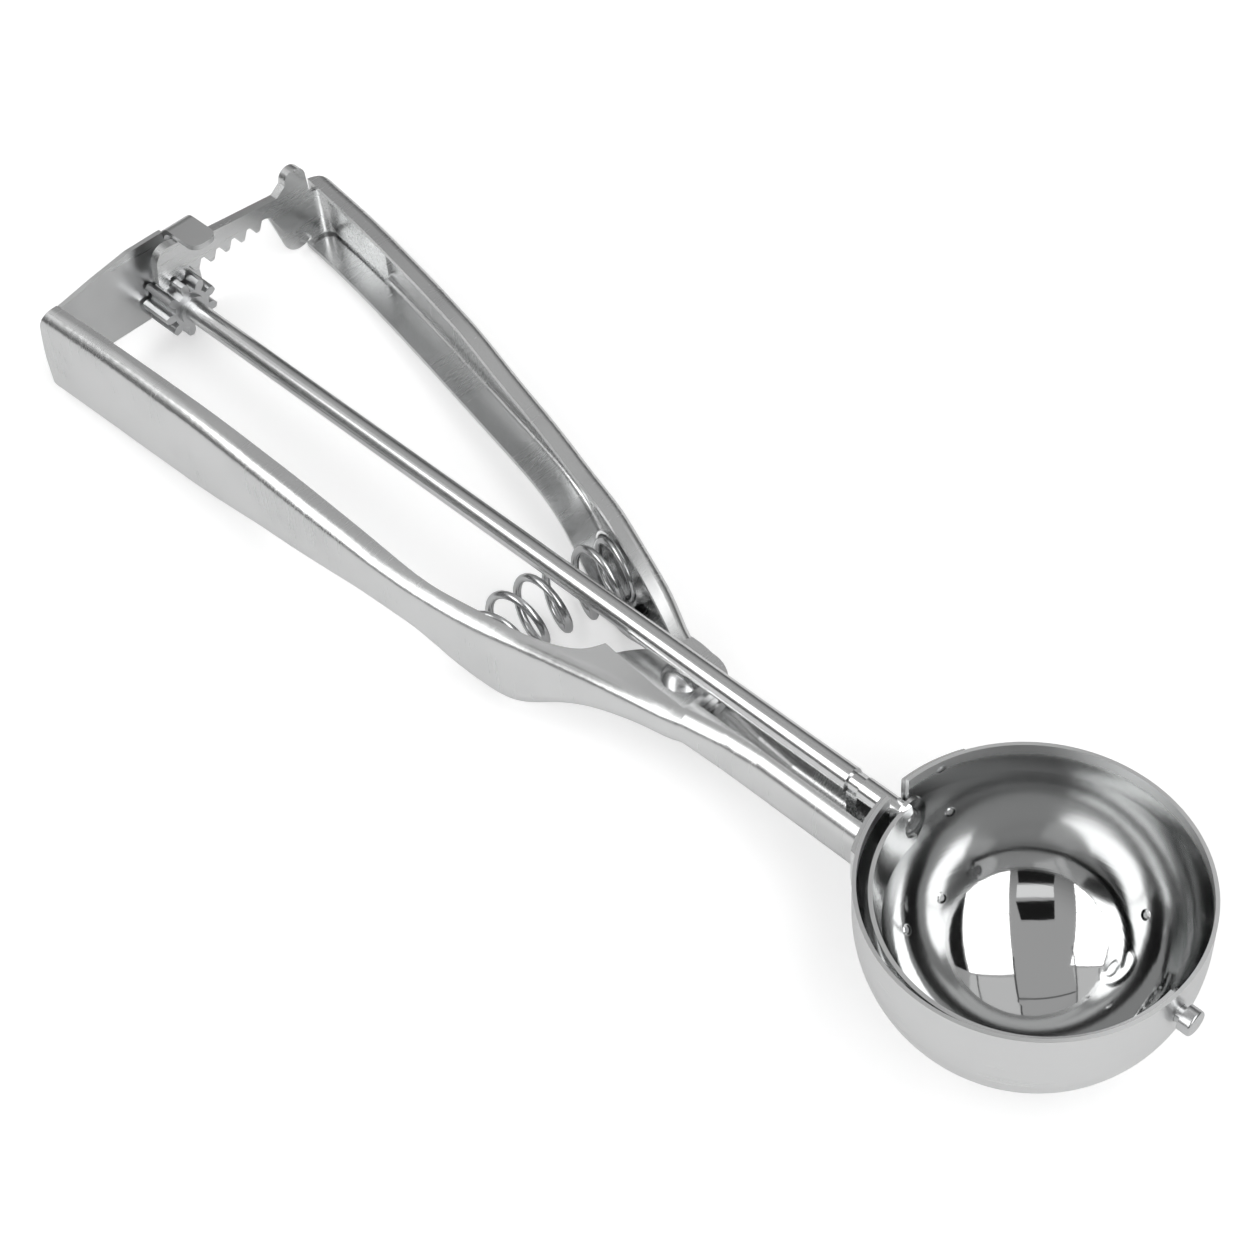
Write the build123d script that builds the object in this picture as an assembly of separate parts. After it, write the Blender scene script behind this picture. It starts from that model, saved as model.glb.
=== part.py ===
from build123d import *
from math import acos, atan2, cos, degrees, pi, radians, sin, sqrt, tan
import os

# Lever ice cream scoop: a spoon-bowl on a fixed channel handle, a second channel
# handle that pivots on it, and a rack on the second handle that turns a long
# spindle, which sweeps a thin blade through the bowl and frees the ball of ice cream.
#
# Frame, in millimetres: the spindle lies along X with its front end in the bowl,
# +Z is the open side of the bowl, and the lever handle is on the +Y side.
# The origin is the centre of the bowl, on the spindle's axis.

# ---- driving dimensions ------------------------------------------------------

# bowl
BOWL_RADIUS = 25.0          # outside of the hemisphere and of its collar
BOWL_SHEET = 0.6
BOWL_DROP = 0.6             # hemisphere's centre below the spindle's axis
RIM_HEIGHT = 5.5            # rim above the spindle's axis
NOTCH_CLEARANCE = 0.15      # each side of the spindle, where it drops into the rim

# saddle that carries the bowl
SADDLE_SHEET = 0.8
SADDLE_HALF_WIDTH = 12.3
SADDLE_TOP = 4.7
SADDLE_BOTTOM = -18.5
SEAT_GAP = 0.02             # between welded or seated faces

# spindle
ROD_DIAMETER = 4.0
GROOVE_DIAMETER = 2.9
GROOVE_LENGTH = 2.4
GROOVE_FRONT_GAP = 5.8      # from the bowl's wall back to the groove
KEEPER_WIDTH = 3.2
ROD_COLLAR_DIAMETER = 3.8
ROD_TIP_DIAMETER = 2.6
PEEN_HEIGHT = 0.7
PEEN_DIAMETER = 3.9
JOURNAL_DIAMETER = 3.0
RUNNING_FIT = 0.06          # radial

# blade
BLADE_SHEET = 0.65
BLADE_TOP_CLEARANCE = 1.2    # from the bowl's inside to the blade's upper edge
BLADE_BOTTOM_CLEARANCE = 2.5
BLADE_TOP = 3.7
BLADE_BOTTOM = -3.2
BLADE_SHIFT = 0.6           # blade's arc stands this far forward of the bowl's centre
ROOT_LUG_GAP = 1.5          # from the bowl's wall to the blade's lug on the spindle
TIP_LUG_GAP = 0.55          # from the bowl's wall to the blade's lug on its pin
ROOT_LUG_HEIGHT = 11.0
ROOT_LUG_WIDTH = 7.2
ROOT_LUG_DROP = 1.2
TIP_LUG_DIAMETER = 6.0

# blade pin at the front of the bowl
PIN_NECK_DIAMETER = 2.6
PIN_HEAD_DIAMETER = 4.0
PIN_NECK_LENGTH = 0.9
PIN_HEAD_LENGTH = 1.9

# pivot of the two handles
PIVOT_X = -68.0
RIVET_DIAMETER = 4.8
RIVET_DOME_DIAMETER = 7.0
RIVET_DOME_HEIGHT = 1.6
LUG_RADIUS = 7.0
COVER_LUG_RADIUS = 4.7      # main handle's upper lug, which hides under the spindle
LUG_TOP = -4.2              # top face of the upper lug
LUG_BOTTOM = -10.9          # bottom face of the main handle's lower lug
LUG_GAP = 0.1
LOWER_LUG_RADIUS = 5.0      # lever handle's lower lug

# rack and pinion
MODULE = 1.1
PINION_TEETH = 9
PRESSURE_ANGLE = 25.0
PINION_ADDENDUM = 0.6
RACK_ADDENDUM = 0.75
TOOTH_ROOT_CLEARANCE = 0.5
BACKLASH = 0.4
PINION_WIDTH = 7.0
PINION_HUB_DIAMETER = 5.6
PINION_HUB_LENGTH = 0.8
RACK_REACH = 126.0          # from the pivot back to the rack's seam
RACK_SHEET = 0.9
RACK_TEETH = 7
RACK_PHASE = 1.2            # first full tooth beside the spindle's axis, at rest
RACK_END_RADIUS = 3.1
RACK_END_HEIGHT = 9.3
RACK_BAR_TOP_LEFT = 10.6
RACK_BAR_TOP_RIGHT = 8.6
RACK_FLANGE_TOP = 5.6
RACK_FLANGE_LOW = -4.4
RACK_FLANGE_REACH = 21.5    # how far the front layer runs along the lever's web
HUMP_RADIUS = 2.4
HUMP_HEIGHT = 10.1
HUMP_OFFSET = 3.2           # from the lever's end bend back to the middle of the hump

# handles
HANDLE_SHEET = 1.0
STATION_STEP = 6.0
MAIN_TOP_CORNER = 2.8
MAIN_BOTTOM_CORNER = 3.6
LEVER_CORNER = 2.0
TIGHTEST_BEND = 0.3
MAIN_TAIL = RACK_REACH + 6.0    # rear end of each handle, behind the pivot
LEVER_TAIL = RACK_REACH + 1.4
MAIN_TAIL_SLANT = 2.4       # the upper corner of the main handle's end leans forward
LEVER_END_BEND = 4.0        # plan radius where the lever's web turns into its end wall
TOP_FLANGE_WIDTH = 3.9      # lever handle
BOTTOM_FLANGE_WIDTH = 7.2
NECK_SLOT = 5.9
BRIDGE_SHEET = 1.0
BRIDGE_GAP = 0.5            # between the pinion and the bridge
BRIDGE_TOP = 12.2
BRIDGE_BOTTOM = -3.8
BRIDGE_RIGHT = 7.6
GUIDE_TAB_REACH = 10.5      # tab over the rack, from the bridge's back
GUIDE_TAB_LEFT = 2.1
GUIDE_TAB_TOP = 13.5
GUIDE_TAB_BEND = 3.4

# return spring
SPRING_WIRE = 1.4
SPRING_RADIUS = 5.4         # to the middle of the wire
SPRING_TURNS = 6.55
SPRING_END_TURNS = 0.9      # closed turns at each end
SPRING_START_TURN = 0.35    # where the wire's end lies in the main handle's cup
SPRING_DEPTH = -8.5
CUP_WALL = 0.5
CUP_CLEARANCE = 0.3
CUP_EYE_RADIUS = 3.4
CUP_DEPTH = 1.2
MAIN_CUP_BEHIND = 29.4      # centre of each cup's floor behind the pivot
MAIN_CUP_FLOOR = 15.4
MAIN_CUP_TURN = 14.0        # each cup lies square to its own web, in degrees
LEVER_CUP_BEHIND = 26.2
LEVER_CUP_FLOOR = 12.4
LEVER_CUP_TURN = 16.0

# Handle outlines as stations along X: distance behind the pivot, outside of the
# web, top edge, bottom edge.
MAIN_STATIONS = [
    (MAIN_TAIL, 25.0, 10.2, -9.4),
    (114.0, 24.2, 10.2, -9.8),
    (92.0, 23.8, 10.0, -9.2),
    (72.0, 23.4, 8.5, -7.3),
    (54.0, 22.2, 5.8, -6.9),
    (40.0, 20.4, 3.0, -9.0),
    (30.0, 18.5, 1.7, -13.9),
    (22.0, 16.2, 0.8, -15.9),
    (14.0, 13.3, -0.8, -12.1),
    (6.0, 10.6, -2.4, LUG_BOTTOM),
    (0.0, 9.0, -3.2, LUG_BOTTOM),
    (-6.0, 7.4, -3.5, LUG_BOTTOM),
]
NECK_STATIONS = [
    (-6.0, 7.4, -3.5, LUG_BOTTOM),
    (-13.0, 6.1, -3.5, -12.8),
    (-20.0, 5.5, -3.5, -13.8),
    (-46.0, 5.5, -3.5, -13.8),
]
NECK_LEVER_SIDE = 5.3       # half width of the neck on the lever's side
LEVER_STATIONS = [
    (LEVER_TAIL, 36.3, 7.2, -6.0),
    (110.0, 33.8, 7.2, -6.0),
    (92.0, 30.4, 7.2, -6.0),
    (77.0, 27.3, 6.9, -6.0),
    (62.0, 24.1, 4.9, -6.0),
    (48.0, 21.1, 3.1, -6.3),
    (38.5, 18.7, 2.0, -8.6),
    (30.0, 16.6, 1.1, -15.9),
    (23.0, 14.2, 0.3, -16.3),
    (16.0, 11.9, -1.4, -12.9),
    (10.0, 9.9, -4.0, LUG_BOTTOM + 1.1),
    (5.5, 7.9, -5.3, LUG_BOTTOM + 1.1),
]
# Free edges of the main handle's flanges in plan: distance behind the pivot, y.
MAIN_FREE_EDGE = [
    (MAIN_TAIL + 2, -21.4), (112, -20.3), (85, -19.5), (62, -18.6), (46, -17.8), (36, -16.8), (30, -15.4),
    (24, -14.1), (20, -12.8), (16, -10.7), (13, -7.9), (11.5, -4.6), (9.2, -1.2), (6.0, 1.8),
]
MAIN_LOWER_EDGE = [
    (MAIN_TAIL + 2, -19.0), (112, -18.2), (85, -17.8), (62, -17.6), (44, -17.4), (35, -16.8), (25, -14.2),
    (12, -5.3),
]

# ---- sizes that follow ---------------------------------------------------------

BOWL_INSIDE = BOWL_RADIUS - BOWL_SHEET
BLADE_TOP_RADIUS = BOWL_INSIDE - BLADE_TOP_CLEARANCE
BLADE_BOTTOM_RADIUS = BOWL_INSIDE - BLADE_BOTTOM_CLEARANCE
PITCH = pi * MODULE
PITCH_RADIUS = MODULE * PINION_TEETH / 2
TIP_RADIUS = PITCH_RADIUS + PINION_ADDENDUM
ROOT_RADIUS = PITCH_RADIUS - RACK_ADDENDUM - TOOTH_ROOT_CLEARANCE
RACK_PLANE = PIVOT_X - RACK_REACH
PINION_FRONT = RACK_PLANE + PINION_WIDTH / 2 + 0.5
PINION_BACK = PINION_FRONT - PINION_WIDTH
BRIDGE_FRONT = PINION_BACK - BRIDGE_GAP
BRIDGE_BACK = BRIDGE_FRONT - BRIDGE_SHEET
RACK_FRONT_FACE = RACK_PLANE + SEAT_GAP / 2
LEVER_BACK = RACK_FRONT_FACE - SEAT_GAP - HANDLE_SHEET
ROD_RADIUS = ROD_DIAMETER / 2
GROOVE_FRONT = -BOWL_RADIUS - GROOVE_FRONT_GAP
GROOVE_BACK = GROOVE_FRONT - GROOVE_LENGTH
MAIN_SEAT = Vector(PIVOT_X - MAIN_CUP_BEHIND, -MAIN_CUP_FLOOR, SPRING_DEPTH)
LEVER_SEAT = Vector(PIVOT_X - LEVER_CUP_BEHIND, LEVER_CUP_FLOOR, SPRING_DEPTH)
MAIN_SEAT_AXIS = Vector(-sin(radians(MAIN_CUP_TURN)), cos(radians(MAIN_CUP_TURN)), 0)
LEVER_SEAT_AXIS = Vector(sin(radians(LEVER_CUP_TURN)), cos(radians(LEVER_CUP_TURN)), 0)
CUP_INSIDE = SPRING_RADIUS + SPRING_WIRE / 2 + CUP_CLEARANCE
CUP_OUTSIDE = CUP_INSIDE + CUP_WALL
FAR = 80.0
UP = Vector(0, 0, 1)

os.makedirs("parts", exist_ok=True)


# ---- helpers -------------------------------------------------------------------

def x_cylinder(radius, x_low, x_high, y=0.0, z=0.0):
    """Cylinder along X between two stations."""
    plane = Plane(origin=(x_low, y, z), x_dir=(0, 1, 0), z_dir=(1, 0, 0))
    return extrude(plane * Circle(radius), amount=x_high - x_low)


def z_cylinder(radius, z_low, z_high, x=0.0, y=0.0):
    """Cylinder along Z between two heights."""
    return extrude(Plane((x, y, z_low)) * Circle(radius), amount=z_high - z_low)


def block(low, high):
    """Box between two corners."""
    size = [b - a for a, b in zip(low, high)]
    centre = [(a + b) / 2 for a, b in zip(low, high)]
    return Pos(*centre) * Box(*size)


def cross_section(x, outline):
    """Face in the plane at x, drawn with y to the right and z up."""
    plane = Plane(origin=(x, 0, 0), x_dir=(0, 1, 0), z_dir=(1, 0, 0))
    return plane * make_face(outline)


def channel_face(x, side, web, top, bottom, top_corner, bottom_corner, open_side):
    """Half of a channel's envelope: rounded at the web, flat at the open side."""
    web_y = side * web
    inner_top = side * (web - top_corner)
    inner_bottom = side * (web - bottom_corner)
    open_y = side * open_side
    turn_top = top_corner * (1 - sqrt(0.5))
    turn_bottom = bottom_corner * (1 - sqrt(0.5))
    outline = [
        Line((open_y, bottom), (open_y, top)),
        Line((open_y, top), (inner_top, top)),
        ThreePointArc((inner_top, top), (side * (web - turn_top), top - turn_top), (web_y, top - top_corner)),
        Line((web_y, top - top_corner), (web_y, bottom + bottom_corner)),
        ThreePointArc(
            (web_y, bottom + bottom_corner),
            (side * (web - turn_bottom), bottom + turn_bottom),
            (inner_bottom, bottom),
        ),
        Line((inner_bottom, bottom), (open_y, bottom)),
    ]
    return cross_section(x, Curve() + outline)


def smooth_value(stations, behind, column):
    """Smooth interpolation of one column of a station table, without overshoot."""
    rows = sorted(stations)
    slopes = [(high[column] - low[column]) / (high[0] - low[0]) for low, high in zip(rows, rows[1:])]
    bends = [0.0 if a * b <= 0 else 2 * a * b / (a + b) for a, b in zip(slopes, slopes[1:])]
    grades = [slopes[0]] + bends + [slopes[-1]]
    index = 0
    while index < len(rows) - 2 and behind > rows[index + 1][0]:
        index += 1
    low, high = rows[index], rows[index + 1]
    span = high[0] - low[0]
    share = (behind - low[0]) / span
    cube, square = share ** 3, share ** 2
    return (
        (2 * cube - 3 * square + 1) * low[column]
        + (cube - 2 * square + share) * span * grades[index]
        + (3 * square - 2 * cube) * high[column]
        + (cube - square) * span * grades[index + 1]
    )


def even_stations(stations, longest_step):
    """The same outline at evenly spaced stations, close enough for a steady loft."""
    rows = sorted(stations)
    low, high = rows[0][0], rows[-1][0]
    count = int((high - low) / longest_step) + 1
    placed = [low + (high - low) * index / count for index in range(count + 1)]
    return [(behind, *(smooth_value(rows, behind, column) for column in (1, 2, 3))) for behind in placed]


def channel_envelope(stations, side, inset, top_corner, bottom_corner, open_side):
    """Lofted solid through a handle's stations, shrunk by inset on every side."""
    faces = []
    for behind, web, top, bottom in even_stations(stations, STATION_STEP):
        faces.append(
            channel_face(
                PIVOT_X - behind, side, web - inset, top - inset, bottom + inset,
                max(top_corner - inset, TIGHTEST_BEND), max(bottom_corner - inset, TIGHTEST_BEND), open_side,
            )
        )
    return loft(faces)


def plan_prism(points, curve_count, z_low, z_high):
    """Prism on a plan outline whose first curve_count points lie on one spline."""
    edges = [Spline(*points[:curve_count])]
    corners = points[curve_count - 1:] + [points[0]]
    for start, end in zip(corners, corners[1:]):
        edges.append(Line(start, end))
    return extrude(Plane((0, 0, z_low)) * make_face(Curve() + edges), amount=z_high - z_low)


def inside_web(stations, side, corners, low, high):
    """Strip of sheet that lies against the inside of a handle's web, within a box."""
    outer = channel_envelope(stations, side, HANDLE_SHEET + SEAT_GAP, *corners, 2.0)
    inner = Pos(0, -side * RACK_SHEET, 0) * outer
    return (outer - inner) & block(low, high)


# ---- bowl and saddle --------------------------------------------------------------

def spherical_shell(outside, sheet, top):
    """Hemisphere with a straight collar up to top, open above."""
    inside = outside - sheet
    profile = Curve() + [
        Line((0, -BOWL_DROP - outside), (0, -BOWL_DROP - inside)),
        ThreePointArc(
            (0, -BOWL_DROP - inside),
            (inside * sqrt(0.5), -BOWL_DROP - inside * sqrt(0.5)),
            (inside, -BOWL_DROP),
        ),
        Line((inside, -BOWL_DROP), (inside, top)),
        Line((inside, top), (outside, top)),
        Line((outside, top), (outside, -BOWL_DROP)),
        ThreePointArc(
            (outside, -BOWL_DROP),
            (outside * sqrt(0.5), -BOWL_DROP - outside * sqrt(0.5)),
            (0, -BOWL_DROP - outside),
        ),
    ]
    return revolve(Plane.XZ * make_face(profile), axis=Axis.Z)


def spindle_notch(half_width, x_low, x_high):
    """Open slot with a round bottom that the spindle drops into."""
    slot = block((x_low, -half_width, 0), (x_high, half_width, RIM_HEIGHT + 5))
    return slot + x_cylinder(half_width, x_low, x_high)


NOTCH_HALF_WIDTH = ROD_COLLAR_DIAMETER / 2 + NOTCH_CLEARANCE


def make_bowl():
    bowl = spherical_shell(BOWL_RADIUS, BOWL_SHEET, RIM_HEIGHT)
    bowl -= spindle_notch(NOTCH_HALF_WIDTH, -BOWL_RADIUS - 2, -BOWL_RADIUS + 4)
    bowl -= x_cylinder(PIN_NECK_DIAMETER / 2 + RUNNING_FIT, BOWL_RADIUS - 4, BOWL_RADIUS + 2)
    return bowl


def make_saddle():
    outside = BOWL_RADIUS + SEAT_GAP + SADDLE_SHEET
    shell = spherical_shell(outside, SADDLE_SHEET, SADDLE_TOP)
    shield = Curve() + [
        Line((-SADDLE_HALF_WIDTH, SADDLE_TOP + 1), (SADDLE_HALF_WIDTH, SADDLE_TOP + 1)),
        Line((SADDLE_HALF_WIDTH, SADDLE_TOP + 1), (SADDLE_HALF_WIDTH, -4)),
        ThreePointArc((SADDLE_HALF_WIDTH, -4), (0, SADDLE_BOTTOM), (-SADDLE_HALF_WIDTH, -4)),
        Line((-SADDLE_HALF_WIDTH, -4), (-SADDLE_HALF_WIDTH, SADDLE_TOP + 1)),
    ]
    mask = extrude(cross_section(-outside - 5, shield), amount=outside + 5)
    saddle = shell & mask
    saddle -= spindle_notch(NOTCH_HALF_WIDTH, -outside - 5, 0)
    return saddle


# ---- spindle: rod, pinion, blade, pin --------------------------------------------------

ROOT_LUG_BACK = -BOWL_INSIDE + ROOT_LUG_GAP
TIP_LUG_BACK = BOWL_INSIDE - TIP_LUG_GAP - BLADE_SHEET


def make_drive_rod():
    journal = x_cylinder(JOURNAL_DIAMETER / 2, BRIDGE_BACK - 0.15, PINION_BACK)
    peen = x_cylinder(PEEN_DIAMETER / 2, BRIDGE_BACK - 0.15 - PEEN_HEIGHT, BRIDGE_BACK - 0.15)
    shank = x_cylinder(ROD_RADIUS, PINION_BACK, GROOVE_BACK)
    groove = x_cylinder(GROOVE_DIAMETER / 2, GROOVE_BACK, GROOVE_FRONT)
    collar = x_cylinder(ROD_COLLAR_DIAMETER / 2, GROOVE_FRONT, ROOT_LUG_BACK)
    head_start = ROOT_LUG_BACK + BLADE_SHEET
    tip = x_cylinder(ROD_TIP_DIAMETER / 2, ROOT_LUG_BACK, head_start)
    head = x_cylinder(PEEN_DIAMETER / 2, head_start, head_start + PEEN_HEIGHT)
    head = chamfer(head.edges().sort_by(Axis.X)[-1], PEEN_HEIGHT * 0.45)
    peen = chamfer(peen.edges().sort_by(Axis.X)[0], PEEN_HEIGHT * 0.45)
    return peen + journal + shank + groove + collar + tip + head


def involute_half_angle(radius):
    """Half of a tooth's angle at a radius, in radians."""
    pressure = radians(PRESSURE_ANGLE)
    base = PITCH_RADIUS * cos(pressure)
    at_pitch = (PITCH / 2 - BACKLASH / 2) / 2 / PITCH_RADIUS
    local = acos(min(1.0, base / radius))
    return at_pitch + (tan(pressure) - pressure) - (tan(local) - local)


def pinion_outline():
    base = PITCH_RADIUS * cos(radians(PRESSURE_ANGLE))
    flank_radii = [base, (base + PITCH_RADIUS) / 2, PITCH_RADIUS, TIP_RADIUS]
    first_gap = pi / 2 - RACK_PHASE / PITCH_RADIUS
    step = 2 * pi / PINION_TEETH
    edges = []
    for tooth in range(PINION_TEETH):
        middle = first_gap + step / 2 + tooth * step

        def at(radius, angle):
            return (radius * cos(angle), radius * sin(angle))

        rise = [at(r, middle - involute_half_angle(r)) for r in flank_radii]
        fall = [at(r, middle + involute_half_angle(r)) for r in reversed(flank_radii)]
        foot = involute_half_angle(base)
        edges.append(Line(at(ROOT_RADIUS, middle - foot), rise[0]))
        edges.append(Spline(*rise))
        edges.append(ThreePointArc(rise[-1], at(TIP_RADIUS, middle), fall[0]))
        edges.append(Spline(*fall))
        edges.append(Line(fall[-1], at(ROOT_RADIUS, middle + foot)))
        edges.append(
            ThreePointArc(
                at(ROOT_RADIUS, middle + foot),
                at(ROOT_RADIUS, middle + step / 2),
                at(ROOT_RADIUS, middle + step - foot),
            )
        )
    return Curve() + edges


def make_pinion():
    gear = extrude(cross_section(PINION_BACK, pinion_outline()), amount=PINION_WIDTH)
    hub = x_cylinder(PINION_HUB_DIAMETER / 2, PINION_FRONT, PINION_FRONT + PINION_HUB_LENGTH)
    return gear + hub - x_cylinder(ROD_RADIUS, PINION_BACK - 1, PINION_FRONT + 5)


def make_scraper_blade():
    strip = Curve() + [
        Line((BLADE_TOP_RADIUS - BLADE_SHEET, BLADE_TOP), (BLADE_TOP_RADIUS, BLADE_TOP)),
        Line((BLADE_TOP_RADIUS, BLADE_TOP), (BLADE_BOTTOM_RADIUS, BLADE_BOTTOM)),
        Line((BLADE_BOTTOM_RADIUS, BLADE_BOTTOM), (BLADE_BOTTOM_RADIUS - BLADE_SHEET, BLADE_BOTTOM)),
        Line((BLADE_BOTTOM_RADIUS - BLADE_SHEET, BLADE_BOTTOM), (BLADE_TOP_RADIUS - BLADE_SHEET, BLADE_TOP)),
    ]
    band = Pos(BLADE_SHIFT, 0, 0) * revolve(Plane.XZ * make_face(strip), axis=Axis.Z)
    band &= block((ROOT_LUG_BACK, -FAR, -FAR), (TIP_LUG_BACK + BLADE_SHEET, 0, FAR))
    band -= x_cylinder(PEEN_DIAMETER / 2 + 0.2, ROOT_LUG_BACK, 0)
    band -= x_cylinder(PEEN_DIAMETER / 2 + 0.2, 0, TIP_LUG_BACK)
    lug_plane = Plane(origin=(ROOT_LUG_BACK, 0, -ROOT_LUG_DROP), x_dir=(0, 1, 0), z_dir=(1, 0, 0))
    root_lug = extrude(lug_plane * Ellipse(ROOT_LUG_WIDTH / 2, ROOT_LUG_HEIGHT / 2), amount=BLADE_SHEET)
    tip_lug = x_cylinder(TIP_LUG_DIAMETER / 2, TIP_LUG_BACK, TIP_LUG_BACK + BLADE_SHEET)
    blade = band + root_lug + tip_lug
    blade -= x_cylinder(ROD_TIP_DIAMETER / 2, -FAR, 0)
    blade -= x_cylinder(PIN_NECK_DIAMETER / 2, 0, FAR)
    return blade


def make_blade_pin():
    neck_end = BOWL_RADIUS + PIN_NECK_LENGTH
    peen = x_cylinder(PIN_HEAD_DIAMETER / 2 - 0.3, TIP_LUG_BACK - 0.6, TIP_LUG_BACK)
    neck = x_cylinder(PIN_NECK_DIAMETER / 2, TIP_LUG_BACK, neck_end)
    head = x_cylinder(PIN_HEAD_DIAMETER / 2, neck_end, neck_end + PIN_HEAD_LENGTH)
    head = fillet(head.edges().sort_by(Axis.X)[-1], 0.35)
    return peen + neck + head


# ---- main handle -------------------------------------------------------------------

MAIN_CORNERS = (MAIN_TOP_CORNER, MAIN_BOTTOM_CORNER)
LEVER_CORNERS = (LEVER_CORNER, LEVER_CORNER)
POCKET_EDGE = -5.0          # where the top flange steps down to the upper lug
POCKET_BACK = PIVOT_X - 12.6
NECK_BACK = PIVOT_X + 6.0
NECK_FRONT = PIVOT_X + 46.0


def spring_cup(seat, outward):
    """Boss, pocket and eye on the inside of a web, where an end of the spring sits."""
    plane = Plane(origin=seat - outward * CUP_DEPTH, x_dir=(0, 0, 1), z_dir=outward)
    boss = extrude(plane * Circle(CUP_OUTSIDE), amount=CUP_DEPTH + 5)
    pocket = extrude(plane * Circle(CUP_INSIDE), amount=CUP_DEPTH)
    eye = extrude(plane * Circle(CUP_EYE_RADIUS), amount=CUP_DEPTH + 5)
    return boss, pocket, eye


def neck_envelope(inset):
    """The neck below the spindle: rounded all round, wider on the handle's side at first."""
    faces = []
    for behind, half, top, bottom in NECK_STATIONS:
        bend, low_bend = MAIN_TOP_CORNER - inset, MAIN_BOTTOM_CORNER - inset
        left, right = inset - half, NECK_LEVER_SIDE - inset
        high, low = top - inset, bottom + inset
        cut, low_cut = bend * (1 - sqrt(0.5)), low_bend * (1 - sqrt(0.5))
        outline = [
            Line((left + bend, high), (right - bend, high)),
            ThreePointArc((right - bend, high), (right - cut, high - cut), (right, high - bend)),
            Line((right, high - bend), (right, low + low_bend)),
            ThreePointArc((right, low + low_bend), (right - low_cut, low + low_cut), (right - low_bend, low)),
            Line((right - low_bend, low), (left + low_bend, low)),
            ThreePointArc((left + low_bend, low), (left + low_cut, low + low_cut), (left, low + low_bend)),
            Line((left, low + low_bend), (left, high - bend)),
            ThreePointArc((left, high - bend), (left + cut, high - cut), (left + bend, high)),
        ]
        faces.append(cross_section(PIVOT_X - behind, Curve() + outline))
    return loft(faces, ruled=True)


def trimmed_flange(edge, z_low, z_high):
    """Keeps the web and what lies outward of a flange's free edge."""
    points = [(PIVOT_X - behind, y) for behind, y in edge]
    corners = [(NECK_BACK, -NECK_SLOT / 2), (NECK_BACK, -FAR), (points[0][0], -FAR)]
    return plan_prism(points + corners, len(points), z_low, z_high)


def tail_mask():
    """Everything in front of the main handle's end, a slow curve that leans forward at the top."""
    back = PIVOT_X - MAIN_TAIL
    outline = [
        ThreePointArc((back + 0.4, -12), (back, -1), (back + MAIN_TAIL_SLANT, 11)),
        Line((back + MAIN_TAIL_SLANT, 11), (0, 11)),
        Line((0, 11), (0, -FAR)),
        Line((0, -FAR), (back + 0.4, -FAR)),
        Line((back + 0.4, -FAR), (back + 0.4, -12)),
    ]
    return extrude(Plane.XZ * make_face(Curve() + outline), amount=FAR, both=True)


def make_main_handle():
    open_side = -11.0
    outer = channel_envelope(MAIN_STATIONS, -1, 0.0, *MAIN_CORNERS, open_side)
    inner = channel_envelope(MAIN_STATIONS, -1, HANDLE_SHEET, *MAIN_CORNERS, open_side - 2)
    # The cavity stays below the upper lug where the flange is pocketed.
    ring_corner = (POCKET_BACK - HANDLE_SHEET, POCKET_EDGE - HANDLE_SHEET, LUG_TOP - HANDLE_SHEET)
    ring = block(ring_corner, (NECK_BACK, FAR, 20))
    handle = outer - (inner - ring)
    split = (LUG_TOP + LUG_BOTTOM) / 2
    keep_top = trimmed_flange(MAIN_FREE_EDGE, split, FAR)
    keep_top += z_cylinder(COVER_LUG_RADIUS, split, 0, PIVOT_X)
    keep_top += block((PIVOT_X, -8, split), (NECK_BACK, 3.0, 0))
    keep_low = trimmed_flange(MAIN_LOWER_EDGE, -FAR, split)
    keep_low += z_cylinder(LUG_RADIUS, -FAR, split, PIVOT_X)
    keep_low += block((PIVOT_X, -8, -FAR), (NECK_BACK, NECK_LEVER_SIDE, split))
    handle = handle & (keep_top + keep_low) & tail_mask()
    pocket = block((POCKET_BACK, POCKET_EDGE, LUG_TOP), (NECK_BACK - 0.8, FAR, 20))
    handle -= pocket
    # neck
    neck = neck_envelope(0.0) - neck_envelope(HANDLE_SHEET)
    slot_low = (LUG_TOP + LUG_BOTTOM) / 2
    neck -= block((NECK_BACK - 1, -NECK_SLOT / 2, slot_low), (0, NECK_SLOT / 2, 10))
    handle = handle + neck
    seat = BOWL_RADIUS + 2 * SEAT_GAP + SADDLE_SHEET
    handle -= Pos(0, 0, -BOWL_DROP) * Sphere(seat)
    # spring cup and rivet hole
    boss, pocket, eye = spring_cup(MAIN_SEAT, -MAIN_SEAT_AXIS)
    handle += boss & outer
    handle -= pocket + (eye & inner)
    handle -= z_cylinder(RIVET_DIAMETER / 2, -FAR, FAR, PIVOT_X)
    handle -= z_cylinder(RIVET_DOME_DIAMETER / 2 + 0.3, -FAR, LUG_BOTTOM, PIVOT_X)
    return handle


# ---- lever handle --------------------------------------------------------------------

def lever_edge(width):
    """Plan points of a flange's free edge, a set width in from the web."""
    return [(PIVOT_X - behind, web - width) for behind, web, top, bottom in LEVER_STATIONS]


def cut_side(split, far_z):
    """Everything above or below a bent line in the XZ plane."""
    corners = split + [(split[-1][0], far_z), (split[0][0], far_z)]
    face = Plane.XZ * make_face(Polyline(*corners, close=True))
    return extrude(face, amount=FAR, both=True)


END_BEND_X = LEVER_BACK + LEVER_END_BEND
END_BEND_Y = smooth_value(LEVER_STATIONS, PIVOT_X - END_BEND_X, 1) - LEVER_END_BEND


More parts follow.
